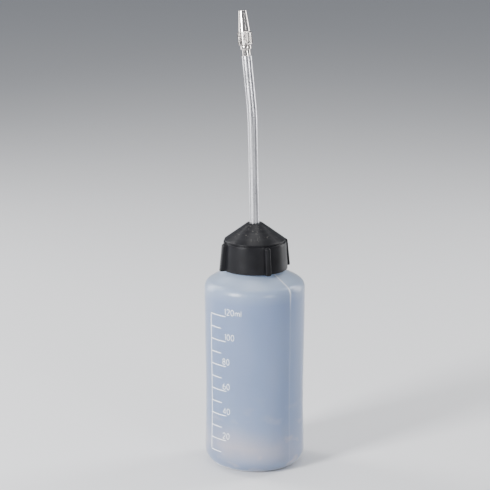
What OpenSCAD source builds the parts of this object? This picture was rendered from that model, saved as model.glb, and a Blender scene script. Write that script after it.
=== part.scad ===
// Glue applicator bottle: a soft squeeze bottle with a finned screw cap,
// a bent metal spout tube and a screwed, knurled nozzle.
// The origin is the centre of the base, +Z up. The graduation scale faces -Y,
// the mould's parting lines lie at +X and -X, and the spout bends towards -X.

/* [Bottle] */
// Radius of the body at the bulge above the base
base_r = 24; // [22:0.1:26]
// Radius of the body at its waist
waist_r = 23.6; // [22:0.1:23.9]
// Height of the waist
waist_z = 31; // [20:1:50]
// Radius of the body just under the shoulder
shoulder_r = 24.15; // [23.7:0.05:26]
// Height where the shoulder starts to turn in
shoulder_z = 87.6; // [80:0.1:90]
// Radius of the corner between base and side
base_corner_r = 7.3; // [4:0.1:10]
// Radius of the corner between side and shoulder
shoulder_corner_r = 4.8; // [3:0.1:6]
// Rise of the sloping part of the shoulder, in degrees
shoulder_slope = 28; // [20:1:35]
// Height of the push-up under the base
push_up = 1.6; // [0.5:0.1:3]
// Thickness of the moulded wall
wall = 1; // [0.6:0.1:1.4]

/* [Neck] */
// Height of the neck's rim
rim_z = 109; // [108:0.1:110]
// Radius of the neck at the thread's root
neck_r = 12.9; // [12.5:0.1:13]
// Radius of the neck's bore
neck_bore_r = 11.3; // [10:0.1:11.5]
// Pitch of the cap's thread
cap_pitch = 4.2; // [3.6:0.1:4.5]
// Turns of thread on the neck and in the cap
cap_turns = 1.5; // [1:0.25:1.75]

/* [Scale] */
// Height of the lowest graduation
tick_z = 9.9; // [9:0.1:11]
// Distance between graduations, for 10 ml of contents
tick_step = 6.19; // [5:0.01:6.3]
// Number of graduations
tick_count = 12; // [2:1:12]
// Height of the moulded relief
relief = 0.15; // [0.1:0.05:0.3]

/* [Cap] */
// Height of the skirt's lower edge
skirt_z = 97; // [96.5:0.1:98]
// Radius of the skirt at its lower edge
skirt_r = 15.8; // [15.4:0.1:16.4]
// Radius of the edge of the conical top
cone_r = 14.6; // [14.2:0.1:14.8]
// Height of the edge of the conical top
cone_z = 111.2; // [111:0.1:112]
// Height of the small flat at the top of the cone
cone_top_z = 119.2; // [118:0.1:121]
// Radius of that flat
cone_top_r = 3.7; // [3.2:0.1:4.4]
// Reach of the fins at their lower end
fin_low_r = 18.1; // [17:0.1:19]
// Reach of the fins at their upper end
fin_high_r = 16.7; // [16:0.1:17]
// Width of a fin
fin_w = 2.7; // [2:0.1:3.5]

/* [Spout] */
// Outer radius of the tube
tube_r = 2.35; // [2.2:0.05:2.5]
// Inner radius of the tube
tube_bore_r = 1.85; // [1.7:0.05:1.95]
// Lean of the tube below the bend, in degrees
low_lean = 1.7; // [0:0.1:3]
// Lean of the tube above the bend, in degrees
high_lean = 8; // [4:0.5:12]
// Radius of the bend's centreline
bend_r = 100; // [60:5:120]

/* [Nozzle] */
// Length of the narrow neck between tube and flange
nozzle_neck = 3.1; // [2:0.1:4]
// Thickness of the flange
flange = 1.9; // [1:0.1:2]
// Length of the knurled collar
collar = 6.3; // [6:0.05:7]
// Radius of the collar
collar_r = 3.4; // [3.2:0.1:3.8]
// Length of the tapered nose
nose = 9.9; // [8:0.1:14]
// Radius of the nose at the collar
nose_low_r = 2.75; // [2.6:0.05:3]
// Radius of the nose at its end
nose_high_r = 1.85; // [1.4:0.05:2]
// Pitch of the nozzle's thread
nozzle_pitch = 0.7; // [0.7:0.05:0.8]

/* [Hidden] */
$fn = 96;
tiny = 0.01;

// Bottle
base_bulge_z = 8;
ring_r = base_r - base_corner_r;
push_up_r = 13;
body_steps = 14;
arc_steps = 8;
slope_normal = 90 - shoulder_slope;
shoulder_c = shoulder_r - shoulder_corner_r;
line_start = -104.5;
long_tick_end = -79;
short_tick_end = -86;
line_deg = 1.2;
tick_h = 0.5;
// The graduations stand a little lower than the line that they start inside
tick_relief = 0.8 * relief;
seam_deg = 1.4;

// Cap thread: the neck's ridge and the cap's ridge share one pitch and lie half a pitch apart
neck_thread_r = 13.75;
cap_thread_r = 13.3;
cap_bore_r = 14.15;
neck_thread_z = 100.6;
cap_thread_z = neck_thread_z - cap_pitch / 2;
cap_thread_bury = 0.5;

// Cap and its liner
deck_z = 110.05;
liner_out = 0.6;
liner_in = 0.3;
boss_r = 4.6;
boss_z = 107.5;
cavity_r = 10.6;
cone_wall = 2;
skirt_top_r = 15;
groove_z = 110.35;
groove_h = 0.5;
groove_depth = 0.3;
fin_top_z = 110.3;
fin_count = 4;
fin_turn = -22;
fin_root_r = skirt_top_r - 0.5;
fin_round_r = 1.2;

// Spout: the tube's centreline lies in the XZ plane
tube_pivot_z = 112;
tube_low = 6;
tube_straight = 54;
tube_upper = 22.1;
// The straight lengths run on into the bend, whose wall is a hair thicker,
// so that they join as one solid
tube_join = 0.2;
bend_swell = 0.01;
bend_start = [-tube_straight * sin(low_lean), tube_pivot_z + tube_straight * cos(low_lean)];
bend_c = [bend_start[0] - bend_r * cos(low_lean), bend_start[1] - bend_r * sin(low_lean)];
bend_end = [bend_c[0] + bend_r * cos(high_lean), bend_c[1] + bend_r * sin(high_lean)];
tube_end = [bend_end[0] - tube_upper * sin(high_lean), bend_end[1] + tube_upper * cos(high_lean)];

// Nozzle: heights along its own axis, from the tube's end
spigot = 8;
adapter_neck_r = 1.9;
adapter_bore_r = 0.8;
flange_r = 2.6;
flange_top = nozzle_neck + flange;
male_top = 9.7;
male_root_r = 1.55;
male_thread_r = 1.95;
collar_gap = 0.15;
collar_z = flange_top + collar_gap;
nose_z = collar_z + collar;
tip_top = nose_z + nose;
female_bore_r = 2.1;
female_thread_r = 1.72;
female_top = 10.3;
seal_gap = 0.05;
nozzle_thread_bury = 0.2;
male_turns = 5.5;
male_thread_z = flange_top + 0.45;
female_turns = 5;
female_thread_z = flange_top + 0.8;
outlet_r = 0.5;
outlet_len = 3;
taper = tip_top - outlet_len - female_top;
knurl_count = 36;
knurl_depth = 0.18;
collar_chamfer = 0.3;
// The collar's chamfers end just inside the knurl's valleys
knurl_valley_r = collar_r - knurl_depth - 0.06;

// Radius of the body at a height
function body_r(z) = z < waist_z
    ? waist_r + (base_r - waist_r) * (1 + cos(180 * (z - base_bulge_z) / (waist_z - base_bulge_z))) / 2
    : waist_r + (shoulder_r - waist_r) * (1 - cos(180 * (z - waist_z) / (shoulder_z - waist_z))) / 2;

// Height of the sloping shoulder's surface, moved inward by in, at radius r
function slope_z(in, r) =
    shoulder_z + (shoulder_corner_r - in) * sin(slope_normal)
    + (shoulder_c + (shoulder_corner_r - in) * cos(slope_normal) - r) * tan(shoulder_slope);

function base_line(in) = [
    for (i = [0 : arc_steps - 1])
        let (r = push_up_r * i / arc_steps)
        [r, in + push_up * (1 - pow(r / push_up_r, 2))]
];

function base_corner(in) = [
    for (i = [0 : arc_steps])
        let (a = 90 * i / arc_steps)
        [ring_r + (base_corner_r - in) * sin(a), base_corner_r - (base_corner_r - in) * cos(a)]
];

function body_line(in) = [
    for (i = [1 : body_steps])
        let (z = base_corner_r + (shoulder_z - base_corner_r) * i / body_steps)
        [body_r(z) - in, z]
];

function shoulder_corner(in) = [
    for (i = [1 : arc_steps])
        let (a = slope_normal * i / arc_steps)
        [shoulder_c + (shoulder_corner_r - in) * cos(a), shoulder_z + (shoulder_corner_r - in) * sin(a)]
];

// The wall's surface from the base's edge to the neck, moved inward by in
function side_line(in) = concat(base_corner(in), body_line(in), shoulder_corner(in));

// One ridge of a screw thread from radius root to radius crest, as rings of four corners.
// bury is how far it reaches into its wall, and it fades into the wall at both ends.
module thread_ridge(root, crest, bury, low_w, high_w, pitch, turns, z, steps = 24) {
    dir = crest > root ? 1 : -1;
    rings = round(turns * steps);
    fade = steps / 6;
    points = [
        for (i = [0 : rings])
            let (
                a = 360 * i / steps,
                rise = z + pitch * i / steps,
                f = min(1, i / fade, (rings - i) / fade),
                top = root - dir * bury / 2 * (1 - f) + (crest - root) * f,
                foot = root - dir * bury
            )
            for (c = [[foot, -low_w / 2], [top, -high_w / 2], [top, high_w / 2], [foot, low_w / 2]])
                [c[0] * cos(a), c[0] * sin(a), rise + c[1]]
    ];
    sides = [
        for (i = [0 : rings - 1], k = [0 : 3])
            let (a = 4 * i + k, b = 4 * i + (k + 1) % 4)
            for (t = [[a, a + 4, b], [b, a + 4, b + 4]])
                dir > 0 ? [t[2], t[1], t[0]] : t
    ];
    first = [[0, 1, 2], [0, 2, 3]];
    last = [for (t = first) [t[2] + 4 * rings, t[1] + 4 * rings, t[0] + 4 * rings]];
    ends = concat(first, last);
    polyhedron(
        points = points,
        faces = concat(sides, dir > 0 ? [for (t = ends) [t[2], t[1], t[0]]] : ends)
    );
}

// A band of relief on the body that stands proud by rise, turned through angle from start
module relief_band(start, angle, low, high, rise = relief, steps = 1) {
    heights = [for (i = [0 : steps]) low + (high - low) * i / steps];
    outer = [for (z = heights) [body_r(z) + rise, z]];
    inner = [for (i = [steps : -1 : 0]) [body_r(heights[i]) - wall / 2, heights[i]]];
    rotate_extrude(start = start, angle = angle)
        polygon(concat(outer, inner));
}

module graduation_scale() {
    line_low = tick_z - tick_h;
    line_high = tick_z + tick_step * (tick_count - 1) + tick_h;
    tick_start = line_start + line_deg / 2;
    relief_band(line_start, line_deg, line_low, line_high, steps = body_steps);
    for (i = [0 : tick_count - 1]) {
        z = tick_z + tick_step * i;
        end = i % 2 == 1 ? long_tick_end : short_tick_end;
        relief_band(tick_start, end - tick_start, z - tick_h / 2, z + tick_h / 2, tick_relief);
    }
}

module parting_lines() {
    for (start = [-seam_deg / 2, 180 - seam_deg / 2])
        relief_band(start, seam_deg, base_corner_r, shoulder_z, steps = body_steps);
}

module bottle() {
    color([0.68, 0.7, 0.74])
    union() {
        difference() {
            rotate_extrude()
                polygon(concat(
                    base_line(0),
                    [[push_up_r, 0]],
                    side_line(0),
                    [[neck_r, slope_z(0, neck_r)], [neck_r, rim_z], [0, rim_z]]
                ));
            rotate_extrude()
                polygon(concat(
                    base_line(wall),
                    [[push_up_r, wall]],
                    side_line(wall),
                    [[neck_bore_r, slope_z(wall, neck_bore_r)], [neck_bore_r, rim_z + 1], [0, rim_z + 1]]
                ));
        }
        graduation_scale();
        parting_lines();
        thread_ridge(neck_r, neck_thread_r, cap_thread_bury, 2.2, 1, cap_pitch, cap_turns, neck_thread_z);
    }
}

// Outline of a fin, in radius and height, with a rounded upper corner
module fin() {
    rotate([90, 0, 0])
        linear_extrude(fin_w, center = true)
        polygon(concat(
            [[fin_root_r, skirt_z], [fin_low_r, skirt_z]],
            [for (i = [0 : 6])
                let (a = 15 * i)
                [fin_high_r + fin_round_r * (cos(a) - 1), fin_top_z + fin_round_r * (sin(a) - 1)]],
            [[fin_root_r, fin_top_z]]
        ));
}

module screw_cap() {
    color([0.06, 0.06, 0.07])
    union() {
        difference() {
            union() {
                rotate_extrude()
                    polygon([
                        [0, skirt_z],
                        [skirt_r, skirt_z],
                        [skirt_top_r, groove_z],
                        [cone_r - groove_depth, groove_z],
                        [cone_r - groove_depth, groove_z + groove_h],
                        [cone_r, groove_z + groove_h],
                        [cone_r, cone_z],
                        [cone_top_r, cone_top_z],
                        [0, cone_top_z]
                    ]);
                for (i = [0 : fin_count - 1])
                    rotate([0, 0, fin_turn + 360 / fin_count * i])
                        fin();
            }
            // Inside of the skirt, around the boss
            translate([0, 0, skirt_z - 1])
                cylinder(r = cap_bore_r, h = deck_z - skirt_z + 1);
            // Hollow under the cone
            rotate_extrude()
                polygon([
                    [boss_r, deck_z - tiny],
                    [cavity_r, deck_z - tiny],
                    [cavity_r, cone_surface(cavity_r) - cone_wall],
                    [boss_r, cone_surface(boss_r) - cone_wall]
                ]);
            tube_hole();
        }
        difference() {
            translate([0, 0, boss_z])
                cylinder(r = boss_r, h = deck_z - boss_z + 1);
            tube_hole();
        }
        thread_ridge(cap_bore_r, cap_thread_r, cap_thread_bury, 2, 0.9, cap_pitch, cap_turns, cap_thread_z);
    }
}

// Height of the cap's cone at radius r
function cone_surface(r) = cone_z + (cone_top_z - cone_z) * (cone_r - r) / (cone_r - cone_top_r);

// Places its children on the leaning axis of the tube's lower part
module on_low_axis() {
    translate([0, 0, tube_pivot_z])
        rotate([0, -low_lean, 0])
        children();
}

module tube_hole() {
    on_low_axis()
        translate([0, 0, -20])
        cylinder(r = tube_r, h = 40);
}

module cap_liner() {
    color([0.86, 0.85, 0.8])
    translate([0, 0, rim_z + seal_gap])
        difference() {
            cylinder(r = neck_r + liner_out, h = deck_z - rim_z - 2 * seal_gap);
            translate([0, 0, -1])
                cylinder(r = neck_bore_r - liner_in, h = 4);
        }
}

// The tube's centreline as a solid rod of radius r, wider in the bend by bend_by
// and longer at both ends by extra
module tube_rod(r, bend_by, extra) {
    on_low_axis()
        translate([0, 0, -tube_low - extra])
        cylinder(r = r, h = tube_low + tube_straight + extra + tube_join);
    translate([bend_c[0], 0, bend_c[1]])
        rotate([90, 0, 0])
        rotate_extrude(start = low_lean, angle = high_lean - low_lean)
        translate([bend_r, 0])
        circle(r = r + bend_by);
    translate([bend_end[0], 0, bend_end[1]])
        rotate([0, -high_lean, 0])
        translate([0, 0, -tube_join])
        cylinder(r = r, h = tube_upper + extra + tube_join);
}

module spout_tube() {
    color([0.72, 0.72, 0.74])
    difference() {
        tube_rod(tube_r, bend_swell, 0);
        tube_rod(tube_bore_r, -bend_swell, 1);
    }
}

// Places its children on the nozzle's axis, with the tube's end at zero
module on_nozzle_axis() {
    translate([tube_end[0], 0, tube_end[1]])
        rotate([0, -high_lean, 0])
        children();
}

module nozzle_adapter() {
    color([0.8, 0.78, 0.75])
    on_nozzle_axis()
        difference() {
            union() {
                translate([0, 0, -spigot])
                    cylinder(r = tube_bore_r, h = spigot);
                cylinder(r = adapter_neck_r, h = nozzle_neck);
                translate([0, 0, nozzle_neck])
                    cylinder(r = flange_r, h = flange);
                translate([0, 0, flange_top])
                    cylinder(r = male_root_r, h = male_top - flange_top);
                thread_ridge(
                    male_root_r, male_thread_r, nozzle_thread_bury, 0.36, 0.12,
                    nozzle_pitch, male_turns, male_thread_z, 16
                );
            }
            translate([0, 0, -spigot - 1])
                cylinder(r = adapter_bore_r, h = spigot + male_top + 2);
        }
}

module nozzle_seal() {
    color([0.9, 0.9, 0.88])
    on_nozzle_axis()
        translate([0, 0, male_top + seal_gap])
        difference() {
            cylinder(r = female_bore_r - seal_gap, h = female_top - male_top - 2 * seal_gap);
            translate([0, 0, -1])
                cylinder(r = adapter_bore_r, h = 3);
        }
}

module knurled_collar() {
    band = collar - 2 * collar_chamfer;
    cylinder(r1 = knurl_valley_r - collar_chamfer, r2 = knurl_valley_r, h = collar_chamfer);
    translate([0, 0, collar_chamfer])
        linear_extrude(band)
        polygon([
            for (i = [0 : 2 * knurl_count - 1])
                let (r = collar_r - knurl_depth * (i % 2), a = 180 * i / knurl_count)
                [r * cos(a), r * sin(a)]
        ]);
    translate([0, 0, collar - collar_chamfer])
        cylinder(r1 = knurl_valley_r, r2 = knurl_valley_r - collar_chamfer, h = collar_chamfer);
}

module nozzle_tip() {
    color([0.82, 0.78, 0.74])
    on_nozzle_axis()
        union() {
            difference() {
                union() {
                    translate([0, 0, collar_z])
                        knurled_collar();
                    translate([0, 0, nose_z])
                        cylinder(r1 = nose_low_r, r2 = nose_high_r, h = nose);
                }
                translate([0, 0, collar_z - 1])
                    cylinder(r = female_bore_r, h = female_top - collar_z + 1);
                translate([0, 0, female_top - tiny])
                    cylinder(r1 = adapter_bore_r, r2 = outlet_r, h = taper + 2 * tiny);
                translate([0, 0, tip_top - outlet_len])
                    cylinder(r = outlet_r, h = outlet_len + 1);
            }
            thread_ridge(
                female_bore_r, female_thread_r, nozzle_thread_bury, 0.3, 0.1,
                nozzle_pitch, female_turns, female_thread_z, 16
            );
        }
}

bottle();
screw_cap();
cap_liner();
spout_tube();
nozzle_adapter();
nozzle_seal();
nozzle_tip();
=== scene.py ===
import math

import bpy
from mathutils import Euler, Matrix, Vector


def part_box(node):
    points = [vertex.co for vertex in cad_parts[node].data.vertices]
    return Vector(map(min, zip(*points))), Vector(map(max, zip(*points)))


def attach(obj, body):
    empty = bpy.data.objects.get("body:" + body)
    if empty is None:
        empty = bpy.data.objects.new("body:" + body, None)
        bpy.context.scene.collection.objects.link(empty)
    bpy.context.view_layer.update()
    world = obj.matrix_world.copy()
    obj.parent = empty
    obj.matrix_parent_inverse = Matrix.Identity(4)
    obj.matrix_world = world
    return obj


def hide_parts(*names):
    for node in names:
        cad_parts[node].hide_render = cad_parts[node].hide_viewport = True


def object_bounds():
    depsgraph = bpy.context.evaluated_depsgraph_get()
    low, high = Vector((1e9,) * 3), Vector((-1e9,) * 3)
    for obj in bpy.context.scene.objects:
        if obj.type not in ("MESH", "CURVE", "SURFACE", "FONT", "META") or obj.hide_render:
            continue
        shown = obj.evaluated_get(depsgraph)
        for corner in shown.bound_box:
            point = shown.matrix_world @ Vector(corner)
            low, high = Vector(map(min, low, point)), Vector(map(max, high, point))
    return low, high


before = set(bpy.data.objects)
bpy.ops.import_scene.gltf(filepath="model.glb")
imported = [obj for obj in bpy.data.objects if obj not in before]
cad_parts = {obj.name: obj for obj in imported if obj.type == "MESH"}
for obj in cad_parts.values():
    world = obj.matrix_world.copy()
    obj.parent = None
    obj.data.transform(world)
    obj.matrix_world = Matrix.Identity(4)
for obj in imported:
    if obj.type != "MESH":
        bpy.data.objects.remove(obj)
CAD_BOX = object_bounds()

# Sizes are in millimetres, as in the CAD model, and become metres in finish_mesh().
MM = 0.001

# Bottle, as the CAD model has it
BASE_R = 24.0
WAIST_R = 23.6
WAIST_Z = 31.0
SHOULDER_R = 24.15
SHOULDER_Z = 87.6
BASE_BULGE_Z = 8.0
BASE_CORNER_R = 7.3
SHOULDER_CORNER_R = 4.8
SHOULDER_SLOPE = 28.0
PUSH_UP = 1.6
PUSH_UP_R = 13.0
WALL = 1.0
RIM_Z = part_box("bottle")[1].z / MM
NECK_R = 12.9
NECK_BORE_R = 11.3
THREAD_R = 13.75
THREAD_Z = 100.6
CAP_PITCH = 4.2
CAP_TURNS = 1.5

# Moulded relief on the bottle
SEAM_WIDTH = 0.4
SEAM_HEIGHT = 0.14
LINE_ANGLE = -103.9
LONG_TICK_END = -79.0
SHORT_TICK_END = -86.0
TICK_Z = 9.9
TICK_STEP = 6.19
TICK_COUNT = 12
TENS_LEFT = -84.0
HUNDREDS_LEFT = -80.3
DIGIT_LIFT = 0.9
DIGIT_STROKE = 0.30
STROKE_WIDTH = 0.42
STROKE_HEIGHT = 0.12
DIGIT_HEIGHT = 2.85
DIGIT_GAP = 0.75

# Cap
SKIRT_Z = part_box("screw_cap")[0].z / MM
CONE_TOP_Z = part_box("screw_cap")[1].z / MM
SKIRT_R = 15.8
SKIRT_TOP_R = 15.0
CAP_BORE_R = 14.15
CAP_THREAD_R = 13.3
CONE_R = 14.6
CONE_Z = 111.2
CONE_TOP_R = 3.7
DECK_Z = 110.05
GROOVE_Z = 110.35
GROOVE_H = 0.5
GROOVE_R = 14.3
BOSS_R = 4.6
BOSS_Z = 107.5
CAVITY_R = 10.6
CONE_WALL = 2.0
FIN_LOW_R = 18.1
FIN_HIGH_R = 16.7
FIN_TOP_Z = 110.3
FIN_WIDTH = 2.7
FIN_TURN = -22.0

# Spout and nozzle
TUBE_R = 2.35
TUBE_BORE_R = 1.85
TUBE_PIVOT_Z = 112.0
TUBE_LOW = 6.0
TUBE_STRAIGHT = 54.0
TUBE_UPPER = 22.1
BEND_R = 100.0
LOW_LEAN = 1.7
HIGH_LEAN = 8.0
NOZZLE_NECK = 3.1
FLANGE = 1.9
FLANGE_R = 2.6
ADAPTER_NECK_R = 1.9
ADAPTER_BORE_R = 0.8
MALE_TOP = 9.7
MALE_ROOT_R = 1.55
MALE_THREAD_R = 1.95
COLLAR_Z = 5.15
COLLAR = 6.3
COLLAR_R = 3.4
NOSE = 9.9
NOSE_LOW_R = 2.75
NOSE_HIGH_R = 1.85
FEMALE_BORE_R = 2.1
FEMALE_THREAD_R = 1.72
FEMALE_TOP = 10.3
OUTLET_R = 0.5
OUTLET = 3.0
NOZZLE_PITCH = 0.7
KNURL_COUNT = 36
KNURL_DEPTH = 0.18


# ---- Mesh building ----

def finish_mesh(name, points, faces, body, material, sharp=35.0):
    """Makes one smooth-shaded piece from points in millimetres and puts it on its body."""
    mesh = bpy.data.meshes.new(name)
    mesh.from_pydata([Vector(p) * MM for p in points], [], faces)
    mesh.validate()
    for polygon in mesh.polygons:
        polygon.use_smooth = True
    mesh.set_sharp_from_angle(angle=math.radians(sharp))
    mesh.materials.append(material)
    piece = bpy.data.objects.new(name, mesh)
    bpy.context.scene.collection.objects.link(piece)
    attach(piece, body)
    return piece


class Solid:
    """Points and faces of one or more closed shells."""

    def __init__(self):
        self.points = []
        self.faces = []

    def skin(self, rings, close_ends=True, join_ends=False):
        """Skins closed rings of equal length, in order, into a closed shell."""
        first = len(self.points)
        size = len(rings[0])
        for ring in rings:
            self.points.extend(ring)
        spans = len(rings) if join_ends else len(rings) - 1
        for i in range(spans):
            low = first + i * size
            high = first + (i + 1) % len(rings) * size
            for k in range(size):
                n = (k + 1) % size
                self.faces.append((low + k, low + n, high + n, high + k))
        if close_ends and not join_ends:
            last = first + (len(rings) - 1) * size
            self.faces.append(tuple(reversed(range(first, first + size))))
            self.faces.append(tuple(range(last, last + size)))

    def lathe(self, profile, angles=None, place=None, offset=None):
        """Turns a closed profile of (radius, height) points about the axis.
        offset(angle, radius, height, index) gives how far a point stands out."""
        angles = angles or even_angles(128)
        place = place or (lambda p: p)
        first = len(self.points)
        size = len(profile)
        for angle in angles:
            c, s = math.cos(angle), math.sin(angle)
            for index, (radius, height) in enumerate(profile):
                dr, dz = offset(angle, radius, height, index) if offset else (0.0, 0.0)
                self.points.append(place((c * (radius + dr), s * (radius + dr), height + dz)))
        for i in range(len(angles)):
            here = first + i * size
            there = first + (i + 1) % len(angles) * size
            for k in range(size):
                n = (k + 1) % size
                self.faces.append((here + k, there + k, there + n, here + n))

    def piece(self, name, slot, body, material, sharp=35.0):
        return finish_mesh(name, self.points, self.faces, body, material, sharp)


def even_angles(count):
    return [2 * math.pi * i / count for i in range(count)]


def filleted(corners, steps=4):
    """Rounds a closed outline of (x, y, fillet radius) corners."""
    outline = []
    count = len(corners)
    for i, (x, y, radius) in enumerate(corners):
        corner = Vector((x, y))
        if radius <= 0:
            outline.append((x, y))
            continue
        back = (Vector(corners[i - 1][:2]) - corner).normalized()
        ahead = (Vector(corners[(i + 1) % count][:2]) - corner).normalized()
        half = back.angle(ahead) / 2
        reach = radius / math.tan(half)
        centre = corner + (back + ahead).normalized() * radius / math.sin(half)
        start = corner + back * reach - centre
        end = corner + ahead * reach - centre
        for k in range(steps + 1):
            t = k / steps
            outline.append(tuple(centre + start.slerp(end, t).normalized() * radius))
    return outline


def densified(profile, longest):
    """Splits the long sides of a closed outline so that none is longer than longest."""
    dense = []
    for i, a in enumerate(profile):
        b = profile[(i + 1) % len(profile)]
        parts = max(1, math.ceil(math.dist(a, b) / longest))
        for k in range(parts):
            t = k / parts
            dense.append((a[0] + (b[0] - a[0]) * t, a[1] + (b[1] - a[1]) * t))
    return dense


def thread_rings(root, crest, bury, foot_width, crest_width, pitch, turns, z, steps=48, place=None):
    """Rings of a screw thread's ridge, which fades into its wall at both ends."""
    place = place or (lambda p: p)
    direction = 1 if crest > root else -1
    count = round(turns * steps)
    fade = steps / 6
    rings = []
    for i in range(count + 1):
        angle = 2 * math.pi * i / steps
        rise = z + pitch * i / steps
        grow = min(1.0, i / fade, (count - i) / fade)
        top = root - direction * bury / 2 * (1 - grow) + (crest - root) * grow
        foot = root - direction * bury
        soft = 0.75 * crest_width / 2
        section = [
            (foot, -foot_width / 2),
            (top - direction * 0.12 * abs(crest - root) * grow, -crest_width / 2),
            (top, -soft),
            (top, soft),
            (top - direction * 0.12 * abs(crest - root) * grow, crest_width / 2),
            (foot, foot_width / 2),
        ]
        if direction < 0:
            section.reverse()
        c, s = math.cos(angle), math.sin(angle)
        rings.append([place((r * c, r * s, rise + h)) for r, h in reversed(section)])
    return rings


# ---- Materials ----

class Finish:
    """A Principled material with helpers for its procedural nodes."""

    def __init__(self, name, **constants):
        self.material = bpy.data.materials.new(name)
        self.material.use_nodes = True
        self.nodes = self.material.node_tree.nodes
        self.links = self.material.node_tree.links
        self.shader = self.nodes["Principled BSDF"]
        for socket, value in constants.items():
            self.shader.inputs[socket.replace("_", " ")].default_value = value
        self.position = self.nodes.new("ShaderNodeTexCoord").outputs["Object"]

    def mapped(self, scale):
        node = self.nodes.new("ShaderNodeMapping")
        node.inputs["Scale"].default_value = scale
        self.links.new(self.position, node.inputs["Vector"])
        return node.outputs["Vector"]

    def noise(self, scale, detail=4.0, roughness=0.55, stretch=(1, 1, 1)):
        node = self.nodes.new("ShaderNodeTexNoise")
        node.inputs["Scale"].default_value = scale
        node.inputs["Detail"].default_value = detail
        node.inputs["Roughness"].default_value = roughness
        self.links.new(self.mapped(stretch), node.inputs["Vector"])
        return node.outputs["Fac"]

    def axis(self, name):
        """One coordinate of the piece's own position, in metres."""
        node = self.nodes.new("ShaderNodeSeparateXYZ")
        self.links.new(self.position, node.inputs["Vector"])
        return node.outputs[name]

    def height(self):
        """Height above the base, in metres."""
        return self.axis("Z")

    def ramp(self, source, stops):
        """Maps a value through (position, colour) stops."""
        node = self.nodes.new("ShaderNodeValToRGB")
        elements = node.color_ramp.elements
        while len(elements) < len(stops):
            elements.new(0.5)
        for element, (position, colour) in zip(elements, stops):
            element.position = position
            element.color = (*colour, 1.0) if len(colour) == 3 else colour
        self.links.new(source, node.inputs["Fac"])
        return node.outputs["Color"]

    def spread(self, source, low_in, high_in, low, high):
        """Maps a value's range linearly onto another, clamped."""
        node = self.nodes.new("ShaderNodeMapRange")
        for socket, value in zip(("From Min", "From Max", "To Min", "To Max"), (low_in, high_in, low, high)):
            node.inputs[socket].default_value = value
        self.links.new(source, node.inputs["Value"])
        return node.outputs["Result"]

    def math(self, operation, a, b):
        node = self.nodes.new("ShaderNodeMath")
        node.operation = operation
        for socket, value in zip(node.inputs, (a, b)):
            if isinstance(value, (int, float)):
                socket.default_value = value
            else:
                self.links.new(value, socket)
        return node.outputs["Value"]

    def mix(self, factor, a, b):
        node = self.nodes.new("ShaderNodeMix")
        node.data_type = "RGBA"
        self.links.new(factor, node.inputs["Factor"])
        for name, value in (("A", a), ("B", b)):
            socket = [s for s in node.inputs if s.name == name and s.type == "RGBA"][0]
            if isinstance(value, tuple):
                socket.default_value = (*value, 1.0)
            else:
                self.links.new(value, socket)
        return [s for s in node.outputs if s.type == "RGBA"][0]

    def colour(self, source):
        self.links.new(source, self.shader.inputs["Base Color"])

    def roughness(self, source):
        self.links.new(source, self.shader.inputs["Roughness"])

    def bump(self, source, distance, strength=1.0):
        node = self.nodes.new("ShaderNodeBump")
        node.inputs["Strength"].default_value = strength
        node.inputs["Distance"].default_value = distance
        self.links.new(source, node.inputs["Height"])
        self.links.new(node.outputs["Normal"], self.shader.inputs["Normal"])


def bottle_finish():
    """Natural soft plastic: milky, slightly blue, with flow clouds, a fine satin skin and painted light on
    the shoulder.
    """
    f = Finish("soft_plastic", Transmission_Weight=0.55, IOR=1.5, Specular_IOR_Level=0.6,
               Sheen_Weight=1.0, Sheen_Roughness=0.24)
    clouds = f.noise(34.0, 3.0, 0.5, (1, 1, 0.55))
    body = f.ramp(clouds, [(0.3, (0.26, 0.36, 0.58)), (0.55, (0.31, 0.41, 0.62)), (0.75, (0.37, 0.46, 0.65))])
    rising = f.spread(f.height(), 0.003, 0.013, 0.0, 1.0)
    falling = f.spread(f.height(), 0.013, 0.026, 1.0, 0.0)
    band = f.math("MULTIPLY", rising, falling)
    veil = f.math("MULTIPLY", band, f.spread(f.noise(55.0, 2.0, 0.4), 0.35, 0.65, 0.15, 0.75))
    reach = f.spread(f.height(), 0.014, 0.040, 1.0, 0.0)
    spots = f.math("MULTIPLY", reach, f.spread(f.noise(95.0, 2.0, 0.4, (1, 1, 1.7)), 0.56, 0.72, 0.0, 0.7))
    clouded = f.mix(f.math("MAXIMUM", veil, spots), body, (0.74, 0.68, 0.72))
    # Painted light: the shoulder, which faces up toward the lamps, is painted paler to stand in for the light
    # falling on it.
    shoulder = f.spread(f.height(), 0.084, 0.093, 0.0, 0.85)
    shoulder_painted_light = f.mix(shoulder, clouded, (0.52, 0.62, 0.76))
    across = f.math("ABSOLUTE", f.axis("Y"), 0.0)
    thick = f.spread(across, 0.0002, 0.0006, 1.0, 0.0)
    rise = f.spread(f.height(), 0.080, 0.090, 0.12, 1.0)
    f.colour(f.mix(f.math("MULTIPLY", thick, rise), shoulder_painted_light, (0.93, 0.95, 0.98)))
    f.roughness(f.spread(f.noise(160.0, 3.0), 0.3, 0.7, 0.28, 0.38))
    f.bump(f.noise(420.0, 2.0, 0.4), 0.00001, 0.12)
    return f.material


def relief_finish():
    """The same plastic where it is raised: thicker, so whiter."""
    f = Finish("raised_plastic", IOR=1.5, Specular_IOR_Level=0.5)
    f.colour(f.ramp(f.noise(420.0, 3.0), [(0.3, (0.86, 0.88, 0.92)), (0.7, (0.95, 0.96, 0.98))]))
    f.roughness(f.spread(f.noise(600.0), 0.3, 0.7, 0.35, 0.5))
    f.bump(f.noise(1500.0), 0.00002, 0.4)
    return f.material


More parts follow.
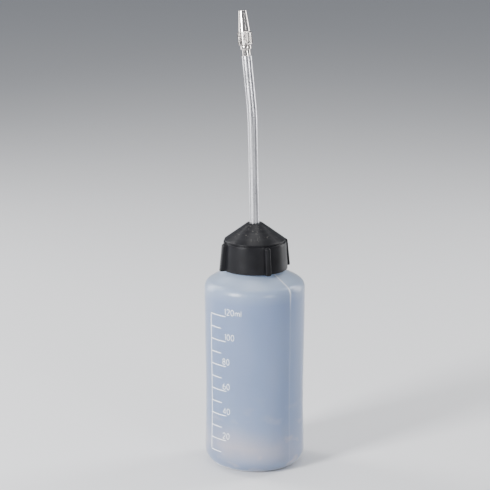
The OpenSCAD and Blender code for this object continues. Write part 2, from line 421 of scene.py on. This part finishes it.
def cap_finish():
    """Black satin plastic with a fine moulded grain, rubbed patches and a little dust."""
    f = Finish("black_plastic", IOR=1.5, Specular_IOR_Level=0.14)
    tone = f.ramp(f.noise(90.0), [(0.3, (0.005, 0.005, 0.006)), (0.7, (0.011, 0.011, 0.013))])
    specks = f.spread(f.noise(1700.0, 1.0, 0.4), 0.735, 0.76, 0.0, 0.7)
    on_cone = f.spread(f.height(), 0.1125, 0.1135, 0.0, 1.0)
    rings = f.spread(f.noise(60.0, 3.0, 0.6, (0.05, 0.05, 22)), 0.4, 0.7, 0.0, 0.5)
    ringed = f.mix(f.math("MULTIPLY", rings, on_cone), tone, (0.022, 0.022, 0.025))
    f.colour(f.mix(f.math("MULTIPLY", specks, on_cone), ringed, (0.34, 0.32, 0.29)))
    f.roughness(f.spread(f.noise(220.0, 4.0), 0.3, 0.7, 0.3, 0.42))
    f.bump(f.noise(2600.0, 3.0, 0.6), 0.00003, 0.35)
    return f.material


def tube_finish():
    """Drawn aluminium: fine streaks along the tube, and small dull specks."""
    f = Finish("drawn_aluminium", Metallic=1.0)
    streaks = f.noise(1500.0, 4.0, 0.6, (1, 1, 0.012))
    specks = f.noise(4200.0, 2.0, 0.5, (1, 1, 0.35))
    tone = f.math("ADD", f.math("MULTIPLY", streaks, 0.7), f.math("MULTIPLY", specks, 0.3))
    greys = [(0.36, (0.26, 0.26, 0.28)), (0.5, (0.50, 0.50, 0.52)), (0.64, (0.74, 0.74, 0.76))]
    f.colour(f.ramp(tone, greys))
    f.roughness(f.spread(specks, 0.3, 0.7, 0.24, 0.36))
    f.bump(streaks, 0.00001, 0.3)
    return f.material


def nozzle_finish():
    """Bright nickel plate with faint turning marks and a warm tint."""
    f = Finish("nickel_plate", Metallic=1.0)
    marks = f.noise(500.0, 4.0, 0.6, (1, 1, 9))
    f.colour(f.ramp(marks, [(0.35, (0.50, 0.45, 0.42)), (0.6, (0.76, 0.72, 0.69))]))
    f.roughness(f.spread(f.noise(700.0), 0.3, 0.7, 0.1, 0.2))
    f.bump(marks, 0.00002, 0.35)
    return f.material


def soft_finish(name, dark, light, scale):
    """Foam or rubber of the hidden seals, with fine cells."""
    f = Finish(name, Specular_IOR_Level=0.3)
    cells = f.noise(scale, 4.0, 0.7)
    f.colour(f.ramp(cells, [(0.35, dark), (0.65, light)]))
    f.roughness(f.spread(cells, 0.3, 0.7, 0.6, 0.8))
    f.bump(cells, 0.00005, 0.4)
    return f.material


BOTTLE_FINISH = bottle_finish()
RELIEF_FINISH = relief_finish()
CAP_FINISH = cap_finish()
TUBE_FINISH = tube_finish()
NOZZLE_FINISH = nozzle_finish()
LINER_FINISH = soft_finish("liner_foam", (0.66, 0.64, 0.58), (0.84, 0.82, 0.76), 1400.0)
SEAL_FINISH = soft_finish("seal_rubber", (0.7, 0.7, 0.67), (0.88, 0.88, 0.85), 2400.0)


# ---- Bottle ----

def body_radius(z):
    if z < WAIST_Z:
        swing = (1 + math.cos(math.pi * (z - BASE_BULGE_Z) / (WAIST_Z - BASE_BULGE_Z))) / 2
        return WAIST_R + (BASE_R - WAIST_R) * swing
    swing = (1 - math.cos(math.pi * (z - WAIST_Z) / (SHOULDER_Z - WAIST_Z))) / 2
    return WAIST_R + (SHOULDER_R - WAIST_R) * swing


def slope_height(inset, radius):
    normal = math.radians(90 - SHOULDER_SLOPE)
    corner = SHOULDER_CORNER_R - inset
    centre_r = SHOULDER_R - SHOULDER_CORNER_R
    start = SHOULDER_Z + corner * math.sin(normal)
    return start + (centre_r + corner * math.cos(normal) - radius) * math.tan(math.radians(SHOULDER_SLOPE))


def wall_line(inset, push_steps=16, corner_steps=16, body_steps=60):
    """The wall's surface from the centre of the base to the foot of the neck, moved inward by inset."""
    line = []
    for i in range(push_steps):
        r = PUSH_UP_R * i / push_steps
        line.append((max(r, 0.02), inset + PUSH_UP * (1 - (r / PUSH_UP_R) ** 2) ** 1.3))
    ring = BASE_R - BASE_CORNER_R
    line.append((PUSH_UP_R + 0.2, inset))
    for i in range(corner_steps + 1):
        a = math.pi / 2 * i / corner_steps
        reach = BASE_CORNER_R - inset
        line.append((ring + reach * math.sin(a), BASE_CORNER_R - reach * math.cos(a)))
    for i in range(1, body_steps + 1):
        z = BASE_CORNER_R + (SHOULDER_Z - BASE_CORNER_R) * i / body_steps
        line.append((body_radius(z) - inset, z))
    normal = math.radians(90 - SHOULDER_SLOPE)
    for i in range(1, corner_steps + 1):
        a = normal * i / corner_steps
        reach = SHOULDER_CORNER_R - inset
        line.append((SHOULDER_R - SHOULDER_CORNER_R + reach * math.cos(a), SHOULDER_Z + reach * math.sin(a)))
    return line


def seam_angles():
    """Even steps round the bottle, with fine ones across the two parting lines."""
    fine = [math.radians(0.2 * k) for k in range(-12, 13)]
    angles = list(even_angles(180))
    near = math.radians(2.6)
    for middle in (0.0, math.pi):
        angles = [a for a in angles if abs((a - middle + math.pi) % (2 * math.pi) - math.pi) > near]
        angles += [(middle + a) % (2 * math.pi) for a in fine]
    return sorted(angles)


def build_bottle():
    outer = wall_line(0.0)
    inner = wall_line(WALL)
    neck = [
        (NECK_R + 0.5, slope_height(0, NECK_R + 0.5)),
        (NECK_R + 0.1, slope_height(0, NECK_R) + 0.2),
        (NECK_R, slope_height(0, NECK_R) + 0.7),
        (NECK_R, RIM_Z - 0.35),
        (NECK_R - 0.1, RIM_Z - 0.1),
        (NECK_R - 0.35, RIM_Z),
        (NECK_BORE_R + 0.3, RIM_Z),
        (NECK_BORE_R + 0.08, RIM_Z - 0.1),
        (NECK_BORE_R, RIM_Z - 0.35),
        (NECK_BORE_R, slope_height(WALL, NECK_BORE_R) + 0.5),
        (NECK_BORE_R + 0.3, slope_height(WALL, NECK_BORE_R + 0.3)),
    ]
    profile = outer + neck + list(reversed(inner))
    ring = BASE_R - BASE_CORNER_R

    def parting_line(angle, radius, height, index):
        """The ridge runs from the standing ring up the side and over the shoulder."""
        if index >= len(outer) or radius < ring:
            return 0.0, 0.0
        off = min(abs(math.remainder(angle, 2 * math.pi)), abs(math.remainder(angle - math.pi, 2 * math.pi)))
        rise = SEAM_HEIGHT * math.exp(-((off * radius / SEAM_WIDTH) ** 2))
        before, after = outer[max(index - 1, 0)], outer[min(index + 1, len(outer) - 1)]
        run = Vector((after[0] - before[0], after[1] - before[1])).normalized()
        fade = min(1.0, (radius - ring) / 3.0)
        return rise * fade * run.y, -rise * fade * run.x

    solid = Solid()
    solid.lathe(profile, seam_angles(), offset=parting_line)
    piece = solid.piece("bottle_shell", "bottle", "bottle", BOTTLE_FINISH, 50.0)
    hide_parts("bottle")
    thread = Solid()
    thread.skin(thread_rings(NECK_R, THREAD_R, 0.5, 2.2, 1.0, CAP_PITCH, CAP_TURNS, THREAD_Z))
    thread.piece("neck_thread", "bottle", "bottle", BOTTLE_FINISH)


# ---- Graduation scale: strokes laid on the bottle's surface ----

def arc(cx, cy, rx, ry, start, end, steps=10):
    """Points of an elliptical arc, in degrees."""
    angles = [math.radians(start + (end - start) * i / steps) for i in range(steps + 1)]
    return [(cx + rx * math.cos(a), cy + ry * math.sin(a)) for a in angles]


# Each character is a list of strokes in a cell one unit high; its width comes first
CHARACTERS = {
    "0": (0.53, [arc(0.265, 0.5, 0.265, 0.5, 90, 450, 24)]),
    "1": (0.16, [[(0.0, 0.86), (0.16, 1.0), (0.16, 0.0)]]),
    "2": (0.53, [arc(0.265, 0.735, 0.265, 0.265, 165, -35, 12) + [(0.0, 0.0), (0.53, 0.0)]]),
    "4": (0.56, [[(0.42, 0.0), (0.42, 1.0), (0.0, 0.28), (0.56, 0.28)]]),
    "6": (0.53, [
        arc(0.265, 0.29, 0.265, 0.29, 150, 510, 22),
        arc(0.53, 0.36, 0.53, 0.64, 176, 108, 9),
    ]),
    "8": (0.53, [
        arc(0.265, 0.76, 0.22, 0.24, -90, 270, 20),
        arc(0.265, 0.26, 0.265, 0.26, 90, 450, 22),
    ]),
    "m": (0.78, [
        [(0.0, 0.0), (0.0, 0.62)],
        arc(0.195, 0.42, 0.195, 0.2, 180, 0, 8) + [(0.39, 0.0)],
        arc(0.585, 0.42, 0.195, 0.2, 180, 0, 8) + [(0.78, 0.0)],
    ]),
    "l": (0.0, [[(0.0, 0.0), (0.0, 1.0)]]),
}


def on_wall(along, height, lift):
    """A point on the body, along its girth in millimetres from the -Y side, lifted off the wall."""
    radius = body_radius(height)
    angle = -math.pi / 2 + along / radius
    return ((radius + lift) * math.cos(angle), (radius + lift) * math.sin(angle), height)


def girth(angle):
    """Where an angle in degrees lies along the girth."""
    return math.radians(angle + 90) * WAIST_R


def split(path, longest=0.9):
    """Splits long legs, so that a stroke follows the wall's curve."""
    points = [path[0]]
    for a, b in zip(path, path[1:]):
        parts = max(1, math.ceil(math.dist(a, b) / longest))
        points += [
            (a[0] + (b[0] - a[0]) * k / parts, a[1] + (b[1] - a[1]) * k / parts)
            for k in range(1, parts + 1)
        ]
    return points


def stroke(solid, path, width=STROKE_WIDTH):
    """A raised rounded stroke along a path of (along, height) points."""
    path = split(path)
    closed = math.dist(path[0], path[-1]) < 1e-6
    if closed:
        path = path[:-1]
    count = len(path)
    section = [
        (-0.5, -0.2), (-0.42, 0.55), (-0.22, 0.93), (0.0, 1.0),
        (0.22, 0.93), (0.42, 0.55), (0.5, -0.2),
    ]
    rings = []
    for i in range(count):
        here = Vector(path[i])
        back = Vector(path[i - 1]) if closed or i else None
        ahead = Vector(path[(i + 1) % count]) if closed or i < count - 1 else None
        legs = [v.normalized() for v in (here - back if back else None, ahead - here if ahead else None) if v]
        heading = sum(legs, Vector((0.0, 0.0))).normalized()
        side = Vector((-heading.y, heading.x))
        mitre = 1.0 / max(0.55, abs(side.dot(Vector((-legs[0].y, legs[0].x)))))
        end = 0.55 if not closed and i in (0, count - 1) else 1.0
        ring = []
        for across, up in section:
            spot = here + side * across * width * mitre * end
            ring.append(on_wall(spot.x, spot.y, STROKE_HEIGHT * (up if up < 0 else up * end)))
        rings.append(list(reversed(ring)))
    solid.skin(rings, close_ends=not closed, join_ends=closed)


def write(solid, text, left, base):
    """Writes generic scale characters from left, standing on base."""
    pen = left
    for character in text:
        width, strokes = CHARACTERS[character]
        for points in strokes:
            placed = [(pen + x * DIGIT_HEIGHT, base + y * DIGIT_HEIGHT) for x, y in points]
            stroke(solid, placed, DIGIT_STROKE)
        pen += width * DIGIT_HEIGHT + DIGIT_GAP


def build_scale():
    marks = Solid()
    top = TICK_Z + TICK_STEP * (TICK_COUNT - 1)
    line = girth(LINE_ANGLE)
    stroke(marks, [(line, TICK_Z), (line, top)])
    for i in range(TICK_COUNT):
        z = TICK_Z + TICK_STEP * i
        end = LONG_TICK_END if i % 2 else SHORT_TICK_END
        stroke(marks, [(line, z), (girth(end), z)])
    marks.piece("graduation_marks", "bottle", "bottle", RELIEF_FINISH, 60.0)
    numbers = Solid()
    for i in range(1, TICK_COUNT, 2):
        value = 10 * (i + 1)
        label = f"{value}ml" if value == 120 else str(value)
        left = girth(TENS_LEFT if value < 100 else HUNDREDS_LEFT)
        write(numbers, label, left, TICK_Z + TICK_STEP * i + DIGIT_LIFT)
    numbers.piece("graduation_numbers", "bottle", "bottle", RELIEF_FINISH, 60.0)


# ---- Cap ----

def cone_height(radius):
    return CONE_Z + (CONE_TOP_Z - CONE_Z) * (CONE_R - radius) / (CONE_R - CONE_TOP_R)


def build_cap():
    outline = [
        (CAP_BORE_R, SKIRT_Z, 0.2),
        (SKIRT_R, SKIRT_Z, 0.25),
        (SKIRT_TOP_R, GROOVE_Z, 0.3),
        (GROOVE_R, GROOVE_Z, 0.1),
        (GROOVE_R, GROOVE_Z + GROOVE_H, 0.1),
        (CONE_R, GROOVE_Z + GROOVE_H, 0.08),
        (CONE_R, CONE_Z, 0.3),
        (CONE_TOP_R, CONE_TOP_Z, 0.5),
        (TUBE_R + 0.12, CONE_TOP_Z, 0.0),
        (TUBE_R + 0.12, BOSS_Z, 0.0),
        (BOSS_R, BOSS_Z, 0.3),
        (BOSS_R, cone_height(BOSS_R) - CONE_WALL, 0.4),
        (CAVITY_R, cone_height(CAVITY_R) - CONE_WALL, 0.4),
        (CAVITY_R, DECK_Z, 0.2),
        (CAP_BORE_R, DECK_Z, 0.2),
    ]
    cap = Solid()
    cap.lathe(densified(filleted(outline), 1.5), even_angles(160))
    for i in range(4):
        add_fin(cap, math.radians(FIN_TURN + 90 * i))
    cap.skin(thread_rings(
        CAP_BORE_R, CAP_THREAD_R, 0.5, 2.0, 0.9, CAP_PITCH, CAP_TURNS, THREAD_Z - CAP_PITCH / 2))
    piece = cap.piece("cap_shell", "cap", "cap", CAP_FINISH, 40.0)
    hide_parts("screw_cap")


def add_fin(solid, turn):
    """A fin that flares downward, with rounded edges and a rounded upper end."""
    foot_r = SKIRT_TOP_R - 0.5
    half = FIN_WIDTH / 2
    crown = 1.2
    edge = 0.75
    c, s = math.cos(turn), math.sin(turn)
    levels = [SKIRT_Z + 0.02, SKIRT_Z + 0.12, SKIRT_Z + 0.3]
    levels += [SKIRT_Z + 0.3 + (FIN_TOP_Z - crown - SKIRT_Z - 0.3) * k / 8 for k in range(1, 9)]
    levels += [FIN_TOP_Z - crown + crown * math.sin(math.pi / 2 * k / 8) for k in range(1, 9)]
    rings = []
    for z in levels:
        t = (z - SKIRT_Z) / (FIN_TOP_Z - SKIRT_Z)
        reach = FIN_LOW_R + (FIN_HIGH_R - FIN_LOW_R) * t
        low = max(0.0, 1 - (z - SKIRT_Z) / 0.3)
        inset = 0.18 * low * low
        over = max(0.0, z - (FIN_TOP_Z - crown)) / crown
        inset += crown * (1 - math.sqrt(max(0.0, 1 - over * over)))
        wide = half - 0.35 * (inset if over <= 0 else min(inset, half * 0.9) * 2.2) * 0.9
        wide = max(wide, 0.25)
        reach -= inset
        round_r = min(edge, wide * 0.95, reach - foot_r - 0.05)
        fin_corners = [
            (foot_r, -wide, 0.0), (reach, -wide, round_r),
            (reach, wide, round_r), (foot_r, wide, 0.0),
        ]
        outline = filleted(fin_corners, 5)
        rings.append([(x * c - y * s, x * s + y * c, z) for x, y in outline])
    solid.skin(rings)


# ---- Spout tube ----

def tube_frames():
    """Centre and lean of the tube's rings, from its end in the cap to its upper end."""
    low, high = math.radians(LOW_LEAN), math.radians(HIGH_LEAN)
    frames = []
    for k in range(31):
        d = -TUBE_LOW + (TUBE_STRAIGHT + TUBE_LOW) * k / 30
        frames.append((-d * math.sin(low), TUBE_PIVOT_Z + d * math.cos(low), low))
    x0, z0, _ = frames[-1]
    cx, cz = x0 - BEND_R * math.cos(low), z0 - BEND_R * math.sin(low)
    for k in range(1, 17):
        a = low + (high - low) * k / 16
        frames.append((cx + BEND_R * math.cos(a), cz + BEND_R * math.sin(a), a))
    x0, z0, _ = frames[-1]
    for k in range(1, 13):
        d = TUBE_UPPER * k / 12
        frames.append((x0 - d * math.sin(high), z0 + d * math.cos(high), high))
    return frames


TUBE_FRAMES = tube_frames()
TUBE_END = Vector((TUBE_FRAMES[-1][0], 0.0, TUBE_FRAMES[-1][1]))
NOZZLE_TURN = Euler((0.0, -math.radians(HIGH_LEAN), 0.0)).to_matrix()


def on_nozzle(point):
    """From the nozzle's own axis, with the tube's end at zero, to the row frame."""
    return tuple(TUBE_END + NOZZLE_TURN @ Vector(point))


def build_tube():
    sides = 64
    rounding = 0.16
    rings = []

    def ring(centre_x, centre_z, lean, radius, shift):
        centre_x -= shift * math.sin(lean)
        centre_z += shift * math.cos(lean)
        points = []
        for a in even_angles(sides):
            across = radius * math.cos(a)
            points.append((
                centre_x + across * math.cos(lean),
                radius * math.sin(a),
                centre_z + across * math.sin(lean),
            ))
        return points

    first, last = TUBE_FRAMES[0], TUBE_FRAMES[-1]
    for k in range(5):
        a = math.pi / 2 * k / 4
        rings.append(ring(*first, TUBE_R - rounding * (1 - math.sin(a)), rounding * (1 - math.cos(a))))
    rings += [ring(*f, TUBE_R, 0.0) for f in TUBE_FRAMES[1:-1]]
    for k in range(5):
        a = math.pi / 2 * k / 4
        rings.append(ring(*last, TUBE_R - rounding * (1 - math.cos(a)), -rounding * (1 - math.sin(a))))
    rings += [ring(*f, TUBE_BORE_R, 0.0) for f in reversed(TUBE_FRAMES)]
    tube = Solid()
    tube.skin(rings, join_ends=True)
    piece = tube.piece("spout_tube_skin", "tube", "cap", TUBE_FINISH, 50.0)
    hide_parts("spout_tube")


# ---- Nozzle ----

def build_adapter():
    top = NOZZLE_NECK + FLANGE
    outline = [
        (ADAPTER_BORE_R, -8.0, 0.0),
        (TUBE_BORE_R - 0.02, -8.0, 0.2),
        (TUBE_BORE_R - 0.02, 0.05, 0.0),
        (ADAPTER_NECK_R, 0.05, 0.0),
        (ADAPTER_NECK_R, NOZZLE_NECK, 0.2),
        (FLANGE_R, NOZZLE_NECK, 0.3),
        (FLANGE_R, top, 0.3),
        (MALE_ROOT_R, top, 0.1),
        (MALE_ROOT_R, MALE_TOP, 0.25),
        (ADAPTER_BORE_R, MALE_TOP, 0.1),
    ]
    adapter = Solid()
    adapter.lathe(densified(filleted(outline), 0.8), even_angles(96), on_nozzle)
    adapter.skin(thread_rings(
        MALE_ROOT_R, MALE_THREAD_R, 0.2, 0.36, 0.12, NOZZLE_PITCH, 5.5, top + 0.45, 32, on_nozzle))
    piece = adapter.piece("adapter_turned", "nozzle", "cap", NOZZLE_FINISH)
    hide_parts("nozzle_adapter")


def build_tip():
    nose_z = COLLAR_Z + COLLAR
    tip_top = nose_z + NOSE
    valley = COLLAR_R - KNURL_DEPTH
    outline = [
        (FEMALE_BORE_R, COLLAR_Z, 0.15),
        (valley - 0.3, COLLAR_Z, 0.0),
        (COLLAR_R, COLLAR_Z + 0.35, 0.0),
        (COLLAR_R, nose_z - 0.35, 0.0),
        (valley - 0.3, nose_z, 0.0),
        (NOSE_LOW_R, nose_z, 0.12),
        (NOSE_HIGH_R, tip_top, 0.22),
        (OUTLET_R, tip_top, 0.12),
        (OUTLET_R, tip_top - OUTLET, 0.0),
        (ADAPTER_BORE_R, FEMALE_TOP, 0.0),
        (FEMALE_BORE_R, FEMALE_TOP, 0.0),
    ]

    def knurl(angle, radius, height, index):
        """Straight V grooves, cut where the collar stands proud of their valleys."""
        if radius <= valley or not COLLAR_Z < height < nose_z:
            return 0.0, 0.0
        phase = (angle * KNURL_COUNT / (2 * math.pi)) % 1.0
        groove = abs(2 * phase - 1)
        return -(radius - valley) * min(1.0, 1.25 * groove), 0.0

    tip = Solid()
    tip.lathe(densified(filleted(outline), 0.8), even_angles(KNURL_COUNT * 8), on_nozzle, knurl)
    tip.skin(thread_rings(
        FEMALE_BORE_R, FEMALE_THREAD_R, 0.2, 0.3, 0.1, NOZZLE_PITCH, 5, COLLAR_Z + 0.65, 32, on_nozzle))
    piece = tip.piece("tip_turned", "nozzle", "tip", NOZZLE_FINISH, 30.0)
    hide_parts("nozzle_tip")


def finish_hidden_seals():
    """The two seals keep their CAD shape and get their own finish."""
    for node, material in (("cap_liner", LINER_FINISH), ("nozzle_seal", SEAL_FINISH)):
        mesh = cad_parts[node].data
        mesh.materials.clear()
        mesh.materials.append(material)


# ---- Camera, floor and light ----

CAMERA_TURN = math.radians(46)
CAMERA_PITCH = math.radians(13.75)
CAMERA_AWAY = 0.97993
CAMERA_UP = 0.34794
CAMERA_ASIDE = -0.0047
CAMERA_LENS = 154.78


def build_camera():
    data = bpy.data.cameras.new("camera")
    data.lens = CAMERA_LENS
    data.sensor_width = 36.0
    camera = bpy.data.objects.new("camera", data)
    bpy.context.scene.collection.objects.link(camera)
    camera.location = Matrix.Rotation(CAMERA_TURN, 3, "Z") @ Vector((CAMERA_ASIDE, -CAMERA_AWAY, CAMERA_UP))
    camera.rotation_euler = (math.pi / 2 - CAMERA_PITCH, 0.0, CAMERA_TURN)
    bpy.context.scene.camera = camera


def build_floor():
    size = 6.0
    mesh = bpy.data.meshes.new("floor")
    floor_corners = [(-size, -size, 0), (size, -size, 0), (size, size, 0), (-size, size, 0)]
    mesh.from_pydata(floor_corners, [], [(0, 1, 2, 3)])
    floor = bpy.data.objects.new("floor", mesh)
    material = bpy.data.materials.new("floor")
    material.use_nodes = True
    shader = material.node_tree.nodes["Principled BSDF"]
    shader.inputs["Base Color"].default_value = (0.72, 0.72, 0.73, 1.0)
    shader.inputs["Roughness"].default_value = 0.8
    mesh.materials.append(material)
    bpy.context.scene.collection.objects.link(floor)


def area_light(name, turn, distance, height, size, power):
    """A soft panel that looks at the middle of the object, turned from the camera's direction."""
    data = bpy.data.lights.new(name, "AREA")
    data.shape = "RECTANGLE"
    data.size, data.size_y = size
    data.energy = power
    light = bpy.data.objects.new(name, data)
    bpy.context.scene.collection.objects.link(light)
    heading = CAMERA_TURN + math.radians(turn)
    light.location = (distance * math.sin(heading), -distance * math.cos(heading), height)
    aim = Vector((0.0, 0.0, CAD_BOX[1].z / 2)) - light.location
    light.rotation_euler = aim.to_track_quat("-Z", "Y").to_euler()


def build_studio():
    world = bpy.data.worlds.new("studio")
    world.use_nodes = True
    background = world.node_tree.nodes["Background"]
    background.inputs["Color"].default_value = (0.86, 0.91, 1.0, 1.0)
    background.inputs["Strength"].default_value = 0.3
    bpy.context.scene.world = world
    area_light("key", -48, 0.8, 0.38, (0.20, 0.30), 14.5)
    area_light("fill", 32, 0.9, 0.3, (0.14, 0.18), 2.5)
    area_light("rim_right", 118, 0.7, 0.35, (0.25, 0.8), 6.0)
    area_light("rim_left", -122, 0.7, 0.35, (0.25, 0.8), 6.0)
    area_light("top", 180, 0.1, 1.1, (0.5, 0.35), 4.5)


build_camera()
build_floor()
build_studio()
build_bottle()
build_scale()
build_cap()
build_tube()
build_adapter()
build_tip()
finish_hidden_seals()
